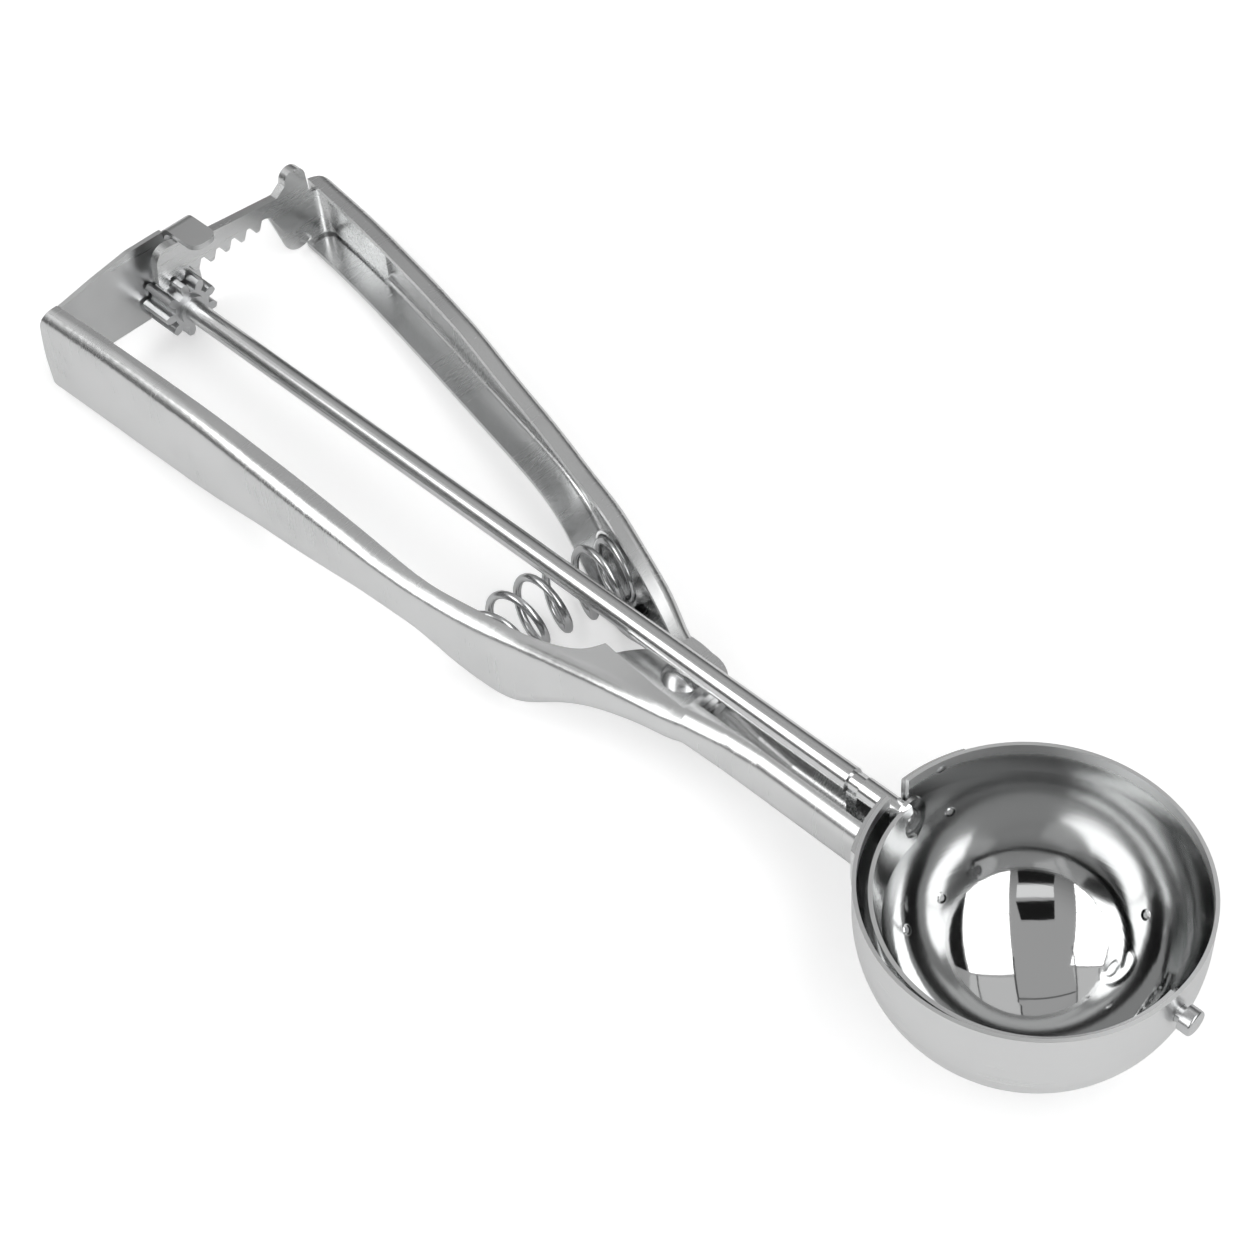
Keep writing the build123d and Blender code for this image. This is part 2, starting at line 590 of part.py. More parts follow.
def turned_end(inset):
    """Plan of sheet that turns from the lever's web into its end wall, shrunk by inset."""
    plan = block((END_BEND_X, 0, -FAR), (0, FAR, FAR))
    plan += block((LEVER_BACK + inset, 0, -FAR), (END_BEND_X, END_BEND_Y, FAR))
    return plan + z_cylinder(LEVER_END_BEND - inset, -FAR, FAR, END_BEND_X, END_BEND_Y)


def make_lever_handle():
    open_side = 2.2
    outer = channel_envelope(LEVER_STATIONS, 1, 0.0, *LEVER_CORNERS, open_side) & turned_end(0.0)
    inner = channel_envelope(LEVER_STATIONS, 1, HANDLE_SHEET, *LEVER_CORNERS, open_side - 2)
    inner &= turned_end(HANDLE_SHEET)
    shell = outer - inner
    # The end wall is only as wide as the flange. The rack fills the rest of its plane.
    shell -= block((LEVER_BACK - 1, 0, -FAR), (LEVER_BACK + HANDLE_SHEET, END_BEND_Y - 0.1, FAR))
    back = PIVOT_X - LEVER_TAIL
    front = PIVOT_X - LEVER_STATIONS[-1][0]
    high = lever_edge(TOP_FLANGE_WIDTH)
    low = lever_edge(BOTTOM_FLANGE_WIDTH)
    split = [(back - 1, 0.5), (PIVOT_X - 44, -2.0), (PIVOT_X - 27, -8.0), (PIVOT_X + 10, -8.0)]
    upper_half = cut_side(split, FAR)
    lower_half = cut_side(split, -FAR)
    keep_high = plan_prism(high + [(front, FAR), (back, FAR)], len(high), -FAR, FAR) & upper_half
    keep_low = plan_prism(low + [(front, FAR), (back, FAR)], len(low), -FAR, FAR) & lower_half
    lever = (shell & keep_high) + (shell & keep_low)
    lug_top = LUG_TOP - HANDLE_SHEET - LUG_GAP
    lug_low = LUG_BOTTOM + HANDLE_SHEET + 2.5 * LUG_GAP
    shoulder = Polyline((-6, 3), (-5.2, 7.3), (-3, 7.3), (-0.3, LUG_RADIUS - 0.02), (0, 3), close=True)
    upper_lug = Circle(LUG_RADIUS) + make_face(shoulder)
    lever += extrude(Plane((PIVOT_X, 0, lug_top - HANDLE_SHEET)) * upper_lug, amount=HANDLE_SHEET)
    lever += z_cylinder(LOWER_LUG_RADIUS, lug_low, lug_low + HANDLE_SHEET, PIVOT_X)
    lever += block((PIVOT_X - 6.5, 0.8, lug_low), (PIVOT_X, LOWER_LUG_RADIUS, lug_low + HANDLE_SHEET))
    boss, pocket, eye = spring_cup(LEVER_SEAT, LEVER_SEAT_AXIS)
    lever += boss & outer
    lever -= pocket + (eye & inner)
    lever -= z_cylinder(RIVET_DIAMETER / 2 + RUNNING_FIT, -FAR, FAR, PIVOT_X)
    return lever


# ---- pivot rivet and return spring ----------------------------------------------------------

def make_pivot_rivet():
    half = RIVET_DOME_DIAMETER / 2
    ball = (half ** 2 + RIVET_DOME_HEIGHT ** 2) / (2 * RIVET_DOME_HEIGHT)
    dome = Pos(PIVOT_X, 0, LUG_TOP + RIVET_DOME_HEIGHT - ball) * Sphere(ball)
    dome &= block((PIVOT_X - half, -half, LUG_TOP), (PIVOT_X + half, half, LUG_TOP + RIVET_DOME_HEIGHT))
    shank = z_cylinder(RIVET_DIAMETER / 2, LUG_BOTTOM, LUG_TOP, PIVOT_X)
    foot = z_cylinder(half, LUG_BOTTOM - 1.2, LUG_BOTTOM, PIVOT_X)
    foot = fillet(foot.edges().sort_by(Axis.Z)[0], 0.8)
    return dome + shank + foot


def spring_centre(share, span):
    """Point and heading on the spring's bowed centre line, square to both cups."""
    start = MAIN_SEAT + MAIN_SEAT_AXIS * (SPRING_WIRE / 2 + SEAT_GAP)
    end = LEVER_SEAT - LEVER_SEAT_AXIS * (SPRING_WIRE / 2 + SEAT_GAP)
    cube, square = share ** 3, share ** 2
    point = start * (2 * cube - 3 * square + 1) + end * (3 * square - 2 * cube)
    point += (MAIN_SEAT_AXIS * (cube - 2 * square + share) + LEVER_SEAT_AXIS * (cube - square)) * span
    heading = (end - start) * (6 * share - 6 * square)
    heading += MAIN_SEAT_AXIS * (3 * square - 4 * share + 1) * span
    heading += LEVER_SEAT_AXIS * (3 * square - 2 * share) * span
    return point, heading.normalized()


def make_return_spring():
    length = (LEVER_SEAT - MAIN_SEAT).length - SPRING_WIRE - 2 * SEAT_GAP
    closed = SPRING_WIRE * 1.04
    open_turns = SPRING_TURNS - 2 * SPRING_END_TURNS
    pitch = (length - 2 * SPRING_END_TURNS * closed) / open_turns
    steps = int(SPRING_TURNS * 10)
    points = []
    for step in range(steps + 1):
        turn = SPRING_TURNS * step / steps
        opened = min(max(turn - SPRING_END_TURNS, 0), open_turns)
        rise = closed * (turn - opened) + pitch * opened
        angle = 2 * pi * (turn + SPRING_START_TURN)
        centre, heading = spring_centre(rise / length, length)
        side = UP.cross(heading)
        points.append(centre - UP * (SPRING_RADIUS * cos(angle)) + side * (SPRING_RADIUS * sin(angle)))
    path = Spline(*points)
    return sweep(Plane(origin=path @ 0, z_dir=path % 0) * Circle(SPRING_WIRE / 2), path=path, is_frenet=True)


# ---- bridge, rack, keeper --------------------------------------------------------------------

def make_rear_bridge():
    right, low, high = BRIDGE_RIGHT, BRIDGE_BOTTOM, BRIDGE_TOP
    bend_z = GUIDE_TAB_TOP - GUIDE_TAB_BEND
    bend_x = BRIDGE_BACK + GUIDE_TAB_BEND
    plate = Polyline(
        (right, low), (right, bend_z), (GUIDE_TAB_LEFT, bend_z), (GUIDE_TAB_LEFT, high), (-5.5, high),
        (-13.5, high - 1.3), (-20.6, high - 2.7), (-21.2, 8.8), (-22.2, 8.8), (-23.5, 7.4), (-23.5, low),
        close=True,
    )
    bridge = extrude(cross_section(BRIDGE_BACK, plate), amount=BRIDGE_SHEET)
    bend = Curve() + [
        Line((BRIDGE_BACK, bend_z), (BRIDGE_BACK + BRIDGE_SHEET, bend_z)),
        JernArc((BRIDGE_BACK + BRIDGE_SHEET, bend_z), (0, 1), GUIDE_TAB_BEND - BRIDGE_SHEET, -90),
        Line((bend_x, GUIDE_TAB_TOP - BRIDGE_SHEET), (bend_x, GUIDE_TAB_TOP)),
        JernArc((BRIDGE_BACK, bend_z), (0, 1), GUIDE_TAB_BEND, -90),
    ]
    side = Plane(origin=(0, right, 0), x_dir=(1, 0, 0), z_dir=(0, -1, 0))
    corner = extrude(side * make_face(bend), amount=right - GUIDE_TAB_LEFT)
    tab_low = GUIDE_TAB_TOP - BRIDGE_SHEET
    tab = block((bend_x, GUIDE_TAB_LEFT, tab_low), (BRIDGE_BACK + GUIDE_TAB_REACH, right, GUIDE_TAB_TOP))
    tab = fillet(tab.edges().filter_by(Axis.Z).sort_by(Axis.X)[-2:], 2.2)
    foot = inside_web(MAIN_STATIONS, -1, MAIN_CORNERS, (BRIDGE_BACK, -30, low), (BRIDGE_FRONT + 12, -18, 7.5))
    bridge = bridge + corner + tab + foot
    bridge -= x_cylinder(JOURNAL_DIAMETER / 2 + RUNNING_FIT, BRIDGE_BACK - 2, BRIDGE_FRONT + 2)
    return bridge


def rack_tooth_points():
    """Toothed lower edge, from the last tooth back to the hooked end."""
    slope = tan(radians(PRESSURE_ANGLE))
    half = (PITCH / 2 - BACKLASH / 2) / 2
    tip_z = PITCH_RADIUS - RACK_ADDENDUM
    root_z = PITCH_RADIUS + PINION_ADDENDUM + TOOTH_ROOT_CLEARANCE
    tip_half = half - RACK_ADDENDUM * slope
    root_half = half + (root_z - PITCH_RADIUS) * slope
    points = []
    for index in reversed(range(RACK_TEETH)):
        middle = RACK_REACH * tan((RACK_PHASE + (index - 1) * PITCH) / RACK_REACH)
        points += [(middle + root_half, root_z), (middle + tip_half, tip_z)]
        points += [(middle - tip_half, tip_z), (middle - root_half, root_z)]
    return points


def rack_plate(x_low, right, tongue):
    """One layer of the rack: teeth below, a round end, a round lug on top and a round tongue under it."""
    teeth = rack_tooth_points()
    end = teeth[-1][0] + RACK_END_RADIUS + 0.5
    hump = END_BEND_Y - HUMP_OFFSET
    hump_left, hump_right = hump - HUMP_RADIUS, hump + HUMP_RADIUS
    outline = [
        Polyline(*teeth),
        Line(teeth[-1], (end - RACK_END_RADIUS, RACK_END_HEIGHT)),
        ThreePointArc(
            (end - RACK_END_RADIUS, RACK_END_HEIGHT),
            (end - RACK_END_RADIUS * sqrt(0.5), RACK_END_HEIGHT + RACK_END_RADIUS * sqrt(0.5)),
            (end, RACK_END_HEIGHT + RACK_END_RADIUS),
        ),
        Polyline(
            (end, RACK_END_HEIGHT + RACK_END_RADIUS), (end + 2.2, RACK_END_HEIGHT + RACK_END_RADIUS - 0.2),
            (end + 4.6, RACK_BAR_TOP_LEFT), (hump - 4.6, RACK_BAR_TOP_RIGHT), (hump_left, HUMP_HEIGHT),
        ),
        ThreePointArc((hump_left, HUMP_HEIGHT), (hump, HUMP_HEIGHT + HUMP_RADIUS), (hump_right, HUMP_HEIGHT)),
        Polyline(
            (hump_right, HUMP_HEIGHT), (right - 0.6, RACK_FLANGE_TOP), (right, RACK_FLANGE_TOP),
            (right, RACK_FLANGE_LOW), (right - 1.4, RACK_FLANGE_LOW),
        ),
    ]
    start = (right - 1.4, RACK_FLANGE_LOW)
    root = (END_BEND_Y - 9.9, RACK_FLANGE_TOP)
    if tongue:
        turn = (END_BEND_Y - 7.0, RACK_FLANGE_LOW + 0.4)
        outline.append(ThreePointArc(start, (END_BEND_Y - 4.6, RACK_FLANGE_LOW - 1.0), turn))
        outline.append(Line(turn, root))
    else:
        outline.append(Polyline(start, (END_BEND_Y - 3.6, -1.5), (END_BEND_Y - 7.5, 0.5), root))
    outline.append(Polyline(root, (teeth[0][0] + 0.6, teeth[0][1]), teeth[0]))
    return extrude(cross_section(x_low, Curve() + outline), amount=RACK_SHEET)


def make_rack_back():
    return rack_plate(RACK_PLANE - SEAT_GAP / 2 - RACK_SHEET, END_BEND_Y - 0.4, True)


def make_rack_front():
    """Front layer, which turns through the lever's end and runs along the inside of its web."""
    outside = HANDLE_SHEET + SEAT_GAP
    inside = outside + RACK_SHEET
    outer = channel_envelope(LEVER_STATIONS, 1, outside, *LEVER_CORNERS, 2.0)
    inner = Pos(0, -RACK_SHEET, 0) * outer
    strip = (outer & turned_end(outside)) - (inner & turned_end(inside))
    end = PIVOT_X - RACK_REACH + RACK_FLANGE_REACH
    window = block((RACK_FRONT_FACE, END_BEND_Y - 2, RACK_FLANGE_LOW), (end, FAR, RACK_FLANGE_TOP))
    strip &= fillet(window.edges().filter_by(Axis.Y).group_by(Axis.X)[-1], 2.5)
    return rack_plate(RACK_FRONT_FACE, END_BEND_Y, False) + strip


def make_rod_keeper():
    """Fork that stands in the neck and holds the spindle by its groove."""
    floor = NECK_STATIONS[-1][3] + HANDLE_SHEET + SEAT_GAP
    back, front = GROOVE_BACK + 0.2, GROOVE_FRONT - 0.2
    half = KEEPER_WIDTH / 2
    plate = block((back, -half, floor), (front, half, -0.9))
    foot = block((back - 6, -half, floor), (front, half, floor + 1.0))
    return plate + foot - x_cylinder(GROOVE_DIAMETER / 2 + RUNNING_FIT, back - 1, front + 1)


# ---- export --------------------------------------------------------------------------------

NODES = {
    "bowl": make_bowl,
    "bowl_saddle": make_saddle,
    "main_handle": make_main_handle,
    "lever_handle": make_lever_handle,
    "rear_bridge": make_rear_bridge,
    "rack_front_plate": make_rack_front,
    "rack_back_plate": make_rack_back,
    "pinion": make_pinion,
    "drive_rod": make_drive_rod,
    "rod_keeper": make_rod_keeper,
    "scraper_blade": make_scraper_blade,
    "blade_pin": make_blade_pin,
    "pivot_rivet": make_pivot_rivet,
    "return_spring": make_return_spring,
}

for name, make in NODES.items():
    export_step(make(), f"parts/{name}.step")
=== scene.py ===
"""Dresses the lever ice cream scoop.

Brushed and polished steel, a coil spring bowed between fixed seats on the two handles, and a plain studio.
"""

import math

import bpy
from mathutils import Matrix, Vector


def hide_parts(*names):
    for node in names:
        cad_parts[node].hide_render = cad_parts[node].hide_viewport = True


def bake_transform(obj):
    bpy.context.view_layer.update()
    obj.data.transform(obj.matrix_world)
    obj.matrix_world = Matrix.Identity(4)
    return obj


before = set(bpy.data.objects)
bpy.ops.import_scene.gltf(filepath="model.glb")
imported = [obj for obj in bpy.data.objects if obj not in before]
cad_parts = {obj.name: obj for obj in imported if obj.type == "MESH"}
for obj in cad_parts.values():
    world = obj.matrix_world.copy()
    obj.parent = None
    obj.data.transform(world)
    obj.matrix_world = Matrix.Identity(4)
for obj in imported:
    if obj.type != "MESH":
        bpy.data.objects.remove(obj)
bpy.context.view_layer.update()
MM = 0.001


# ---- shader maths ----------------------------------------------------------------

MIX_FIRST_COLOUR = 6         # a Mix node's colours share their names with other sockets
MIX_SECOND_COLOUR = 7
MIX_RESULT_COLOUR = 2


class Wire:
    """An output socket. Sums on it add Math nodes to its tree."""

    def __init__(self, tree, socket):
        self.tree = tree
        self.socket = socket

    def sum(self, operation, first, second):
        node = self.tree.nodes.new("ShaderNodeMath")
        node.operation = operation
        for socket, value in zip(node.inputs, (first, second)):
            join(self.tree, socket, value)
        return Wire(self.tree, node.outputs[0])

    def __add__(self, other):
        return self.sum("ADD", self, other)

    def __radd__(self, other):
        return self.sum("ADD", other, self)

    def __sub__(self, other):
        return self.sum("SUBTRACT", self, other)

    def __rsub__(self, other):
        return self.sum("SUBTRACT", other, self)

    def __mul__(self, other):
        return self.sum("MULTIPLY", self, other)

    def __rmul__(self, other):
        return self.sum("MULTIPLY", other, self)

    def larger(self, other):
        return self.sum("MAXIMUM", self, other)


def join(tree, socket, value):
    """Puts a number, a colour or another node's output on a socket."""
    if isinstance(value, Wire):
        tree.links.new(value.socket, socket)
    else:
        socket.default_value = value


def socket_named(made, name):
    """An input by its name; first and second are the two operands of vector maths."""
    if name in ("first", "second"):
        return made.inputs[("first", "second").index(name)]
    return made.inputs[name]


class Finish:
    """A procedural material, or the world, with one method that adds any node."""

    def __init__(self, holder):
        holder.use_nodes = True
        self.holder = holder
        self.tree = holder.node_tree
        self.tree.nodes.clear()

    def node(self, kind, settings=None, out=0, **values):
        made = self.tree.nodes.new("ShaderNode" + kind)
        for name, value in (settings or {}).items():
            setattr(made, name, value)
        for name, value in values.items():
            join(self.tree, socket_named(made, name), value)
        return Wire(self.tree, made.outputs[out])

    def position(self):
        """The point on the object, in metres in the object's frame."""
        return self.node("TexCoord", out="Object")

    def grain(self, scale, detail=3.0):
        """Streaks, finest along the axis with the largest scale."""
        place = self.node("VectorMath", {"operation": "MULTIPLY"}, first=self.position(), second=scale)
        return self.node("TexNoise", Vector=place, Scale=1.0, Detail=detail, Roughness=0.6)

    def distance(self, point):
        operation = {"operation": "DISTANCE"}
        return self.node("VectorMath", operation, out="Value", first=self.position(), second=point)

    def step(self, value, low, high, to_low=0.0, to_high=1.0):
        """Smooth change from to_low to to_high as value goes from low to high."""
        return self.node(
            "MapRange", {"interpolation_type": "SMOOTHSTEP"}, Value=value,
            **{"From Min": low, "From Max": high, "To Min": to_low, "To Max": to_high},
        )

    def mixed(self, factor, first, second):
        """Colour mix."""
        made = self.tree.nodes.new("ShaderNodeMix")
        made.data_type = "RGBA"
        join(self.tree, made.inputs["Factor"], factor)
        join(self.tree, made.inputs[MIX_FIRST_COLOUR], first)
        join(self.tree, made.inputs[MIX_SECOND_COLOUR], second)
        return Wire(self.tree, made.outputs[MIX_RESULT_COLOUR])

    def bump(self, height, depth, normal=None):
        under = {"Normal": normal} if normal else {}
        return self.node("Bump", Height=height, Distance=depth, Strength=1.0, **under)

    def surface(self, shader):
        kind = "World" if isinstance(self.holder, bpy.types.World) else "Material"
        output = self.tree.nodes.new("ShaderNodeOutput" + kind)
        self.tree.links.new(shader.socket, output.inputs["Surface"])
        return self.holder


def dress(node_name, material):
    """Puts a material on every slot of a CAD node."""
    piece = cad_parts[node_name]
    for slot in piece.material_slots:
        slot.material = material
    if not piece.material_slots:
        piece.data.materials.append(material)


def add_mesh(name, vertices, faces):
    mesh = bpy.data.meshes.new(name)
    mesh.from_pydata(vertices, [], faces)
    piece = bpy.data.objects.new(name, mesh)
    bpy.context.collection.objects.link(piece)
    return piece


# ---- steel -------------------------------------------------------------------------

STEEL = (0.74, 0.745, 0.745, 1.0)
STEEL_SOILED = (0.52, 0.525, 0.53, 1.0)
BOWL_STEEL = (0.62, 0.625, 0.625, 1.0)
BRIGHT_STEEL = (0.80, 0.805, 0.805, 1.0)
WIRE_STEEL = (0.60, 0.605, 0.61, 1.0)

ACROSS_HANDLE = (2600.0, 120.0, 80.0)
ALONG_HANDLE = (60.0, 1500.0, 1500.0)
ALONG_RACK = (1500.0, 60.0, 1500.0)
AROUND_ROD = (2400.0, 500.0, 500.0)
CLOUDS = (70.0, 70.0, 70.0)

SOIL_START = 0.35            # the clouds' height where the steel starts to look soiled
SOIL_FULL = 0.85
SOIL_STRENGTH = 0.35
CLOUD_SHARE = 0.6            # of the streaks' change in roughness

# roughness, grain, change of roughness, depth of the streaks in mm, colour
STEELS = {
    "handle_steel": (0.26, ACROSS_HANDLE, 0.08, 0.0010, STEEL),
    "rack_steel": (0.26, ALONG_RACK, 0.14, 0.0020, STEEL),
    "bridge_steel": (0.30, ALONG_RACK, 0.12, 0.0015, STEEL),
    "saddle_steel": (0.22, ALONG_HANDLE, 0.10, 0.004, STEEL),
    "rod_steel": (0.20, AROUND_ROD, 0.10, 0.002, STEEL),
    "gear_steel": (0.30, AROUND_ROD, 0.14, 0.003, WIRE_STEEL),
    "blade_steel": (0.12, ALONG_HANDLE, 0.06, 0.003, BRIGHT_STEEL),
    "rivet_steel": (0.26, ALONG_HANDLE, 0.10, 0.002, WIRE_STEEL),
    "spring_steel": (0.22, AROUND_ROD, 0.10, 0.003, WIRE_STEEL),
}


def steel(name, rough, grain_scale, rough_change, streak_depth, colour):
    """Stainless sheet with a drawn or brushed grain and slow cloudy changes of polish."""
    finish = Finish(bpy.data.materials.new(name))
    streaks = finish.grain(grain_scale)
    clouds = finish.grain(CLOUDS, detail=2.0)
    soil = finish.step(clouds, SOIL_START, SOIL_FULL, 0.0, SOIL_STRENGTH)
    tint = finish.mixed(soil, colour, STEEL_SOILED)
    roughness = rough + (streaks - 0.5) * rough_change + (clouds - 0.5) * (rough_change * CLOUD_SHARE)
    shader = finish.node(
        "BsdfPrincipled", Metallic=1.0, Roughness=roughness,
        **{"Base Color": tint, "Normal": finish.bump(streaks, streak_depth * MM)},
    )
    return finish.surface(shader)


BOWL_CENTRE = (0.0, 0.0, -0.6 * MM)
SHEET_MIDDLE = 24.7 * MM
SIDE_CHANGE = 0.1 * MM         # each side of the sheet's middle
MIRROR_TOP = -17.0 * MM        # the bottom is buffed bright, the wall keeps the marks of spinning
WALL_FOOT = -8.0 * MM

RINGS = (25.0, 25.0, 1700.0)
WIDE_RINGS = (12.0, 12.0, 260.0)
BOWL_CLOUDS = (60.0, 60.0, 60.0)
RING_DEPTH = 0.004 * MM
WIDE_RING_DEPTH = 0.02 * MM

MIRROR_ROUGHNESS = 0.05
WALL_ROUGHNESS = 0.09          # on top of the mirror's
OUTSIDE_ROUGHNESS = 0.30

WELD_SPOTS = (
    (-21.9, 8.9, -6.5),
    (-22.7, 7.7, 3.8),
    (-17.6, 2.4, -17.4),
    (-17.4, -5.7, -16.7),
    (7.2, 18.6, -14.7),
)
WELD_RADIUS = 0.9 * MM
WELD_CORE = 0.4                # share of the radius that is flat
WELD_HEIGHT = 0.25 * MM
WELD_ROUGHNESS = 0.2
WELD_SOIL = 0.5


def bowl_steel():
    """Mirror polish inside, satin outside, spinning marks round the axis and weld marks in the wall."""
    finish = Finish(bpy.data.materials.new("bowl_steel"))
    from_centre = finish.distance(BOWL_CENTRE)
    out = finish.step(from_centre, SHEET_MIDDLE - SIDE_CHANGE, SHEET_MIDDLE + SIDE_CHANGE)
    rings = finish.grain(RINGS)
    wide_rings = finish.grain(WIDE_RINGS, detail=1.0)
    clouds = finish.grain(BOWL_CLOUDS, detail=2.0)
    welds = None
    for spot in WELD_SPOTS:
        from_spot = finish.distance(tuple(value * MM for value in spot))
        mark = finish.step(from_spot, WELD_RADIUS * WELD_CORE, WELD_RADIUS, 1.0, 0.0)
        welds = mark if welds is None else welds.larger(mark)
    height = finish.node("SeparateXYZ", out="Z", Vector=finish.position())
    wall = finish.step(height, MIRROR_TOP, WALL_FOOT)
    inside = MIRROR_ROUGHNESS + wall * WALL_ROUGHNESS + (rings - 0.5) * 0.03 + (clouds - 0.5) * 0.02
    outside = OUTSIDE_ROUGHNESS + (rings - 0.5) * 0.10 + (clouds - 0.5) * 0.06
    roughness = inside + (outside - inside) * out + welds * WELD_ROUGHNESS
    colour = finish.mixed(out, BOWL_STEEL, STEEL)
    colour = finish.mixed(welds * WELD_SOIL, colour, STEEL_SOILED)
    normal = finish.bump(wide_rings, WIDE_RING_DEPTH)
    normal = finish.bump(rings, RING_DEPTH, normal)
    normal = finish.bump(welds, WELD_HEIGHT, normal)
    shader = finish.node(
        "BsdfPrincipled", Metallic=1.0, Roughness=roughness, Anisotropic=0.6,
        **{"Base Color": colour, "Normal": normal, "Anisotropic Rotation": 0.25},
    )
    return finish.surface(shader)


STEEL_OF = {
    "bowl": "bowl_steel",
    "bowl_saddle": "saddle_steel",
    "main_handle": "handle_steel",
    "lever_handle": "handle_steel",
    "rear_bridge": "bridge_steel",
    "rack_front_plate": "rack_steel",
    "rack_back_plate": "rack_steel",
    "pinion": "gear_steel",
    "drive_rod": "rod_steel",
    "rod_keeper": "rack_steel",
    "scraper_blade": "blade_steel",
    "blade_pin": "rivet_steel",
    "pivot_rivet": "rivet_steel",
    "return_spring": "spring_steel",
}

steels = {name: steel(name, *values) for name, values in STEELS.items()}
steels["bowl_steel"] = bowl_steel()
for node_name, steel_name in STEEL_OF.items():
    dress(node_name, steels[steel_name])


# ---- the coil spring, bowed between fixed seats on the two handles -----------------------

MAIN_SEAT = Vector((-97.4, -15.4, -8.5)) * MM
LEVER_SEAT = Vector((-94.2, 12.4, -8.5)) * MM
MAIN_SEAT_TURN = math.radians(14)        # each end lies square to its own handle's web
LEVER_SEAT_TURN = math.radians(-16)
SPRING_RADIUS = 5.4 * MM
SPRING_WIRE = 1.4 * MM
SPRING_TURNS = 6.55
SPRING_END_TURNS = 0.9
SPRING_START_TURN = 0.35
SPRING_CLOSED_PITCH = SPRING_WIRE * 1.04
SEAT_GAP = 0.02 * MM
STEPS_PER_TURN = 30
WIRE_SIDES = 14


def seat_axis(turn):
    return Vector((-math.sin(turn), math.cos(turn), 0))


def bowed_line(share, start, end, span):
    """Point and heading on the centre line that leaves both seats squarely."""
    first, last = seat_axis(MAIN_SEAT_TURN) * span, seat_axis(LEVER_SEAT_TURN) * span
    cube, square = share ** 3, share ** 2
    point = start * (2 * cube - 3 * square + 1) + end * (3 * square - 2 * cube)
    point = point + first * (cube - 2 * square + share) + last * (cube - square)
    heading = (end - start) * (6 * share - 6 * square)
    heading = heading + first * (3 * square - 4 * share + 1) + last * (3 * square - 2 * share)
    return point, heading.normalized()


def coil_line():
    """Points along the middle of the wire, closed at both ends, and the axis at each."""
    rest = SPRING_WIRE / 2 + SEAT_GAP
    start = MAIN_SEAT + seat_axis(MAIN_SEAT_TURN) * rest
    end = LEVER_SEAT - seat_axis(LEVER_SEAT_TURN) * rest
    length = (LEVER_SEAT - MAIN_SEAT).length - 2 * rest
    open_turns = SPRING_TURNS - 2 * SPRING_END_TURNS
    pitch = (length - 2 * SPRING_END_TURNS * SPRING_CLOSED_PITCH) / open_turns
    up = Vector((0, 0, 1))
    steps = round(SPRING_TURNS * STEPS_PER_TURN)
    points, axes = [], []
    for step in range(steps + 1):
        turn = SPRING_TURNS * step / steps
        opened = min(max(turn - SPRING_END_TURNS, 0), open_turns)
        rise = SPRING_CLOSED_PITCH * (turn - opened) + pitch * opened
        angle = 2 * math.pi * (turn + SPRING_START_TURN)
        centre, heading = bowed_line(rise / length, start, end, length)
        down = up * (SPRING_RADIUS * math.cos(angle))
        aside = up.cross(heading) * (SPRING_RADIUS * math.sin(angle))
        points.append(centre - down + aside)
        axes.append(heading)
    return points, axes


def tube(name, points, radius, axes):
    """Closed round wire swept along points, with its rings kept from twisting by the coil's axis."""
    vertices, faces = [], []
    for index, point in enumerate(points):
        before, after = points[max(index - 1, 0)], points[min(index + 1, len(points) - 1)]
        heading = (after - before).normalized()
        outward = heading.cross(axes[index]).normalized()
        upward = outward.cross(heading)
        for side in range(WIRE_SIDES):
            angle = 2 * math.pi * side / WIRE_SIDES
            vertices.append(point + (outward * math.cos(angle) + upward * math.sin(angle)) * radius)
    for ring in range(len(points) - 1):
        for side in range(WIRE_SIDES):
            here, beside = ring * WIRE_SIDES + side, ring * WIRE_SIDES + (side + 1) % WIRE_SIDES
            faces.append((here, beside, beside + WIRE_SIDES, here + WIRE_SIDES))
    faces.append(tuple(reversed(range(WIRE_SIDES))))
    faces.append(tuple(range(len(vertices) - WIRE_SIDES, len(vertices))))
    piece = add_mesh(name, vertices, faces)
    piece.data.shade_smooth()
    return piece


coil_points, coil_axes = coil_line()
coil = tube("coil_spring", coil_points, SPRING_WIRE / 2, coil_axes)
coil.data.materials.append(steels["spring_steel"])
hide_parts("return_spring")
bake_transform(coil)


# ---- camera ---------------------------------------------------------------------------

CAMERA_AZIMUTH = math.radians(-41.6455)
CAMERA_ELEVATION = math.radians(47.7546)
CAMERA_ROLL = math.radians(-4.8139)
CAMERA_PLACE = Vector((109.098, -162.882, 281.599)) * MM
SENSOR = 36.0
# The lens axis and the focal length are in pixels of a picture PICTURE_SIDE wide.
PICTURE_SIDE = 1260
LENS_AXIS_RIGHT = 649.31
LENS_AXIS_DOWN = 586.87
FOCAL_PIXELS = 2419.75
FOCAL_LENGTH = SENSOR * FOCAL_PIXELS / PICTURE_SIDE
SHIFT_RIGHT = (LENS_AXIS_RIGHT - PICTURE_SIDE / 2) / PICTURE_SIDE
SHIFT_DOWN = (LENS_AXIS_DOWN - PICTURE_SIDE / 2) / PICTURE_SIDE
NEAREST_SEEN = 0.01
FARTHEST_SEEN = 50.0


def towards(azimuth, elevation):
    return Vector((
        math.cos(elevation) * math.cos(azimuth),
        math.cos(elevation) * math.sin(azimuth),
        math.sin(elevation),
    ))


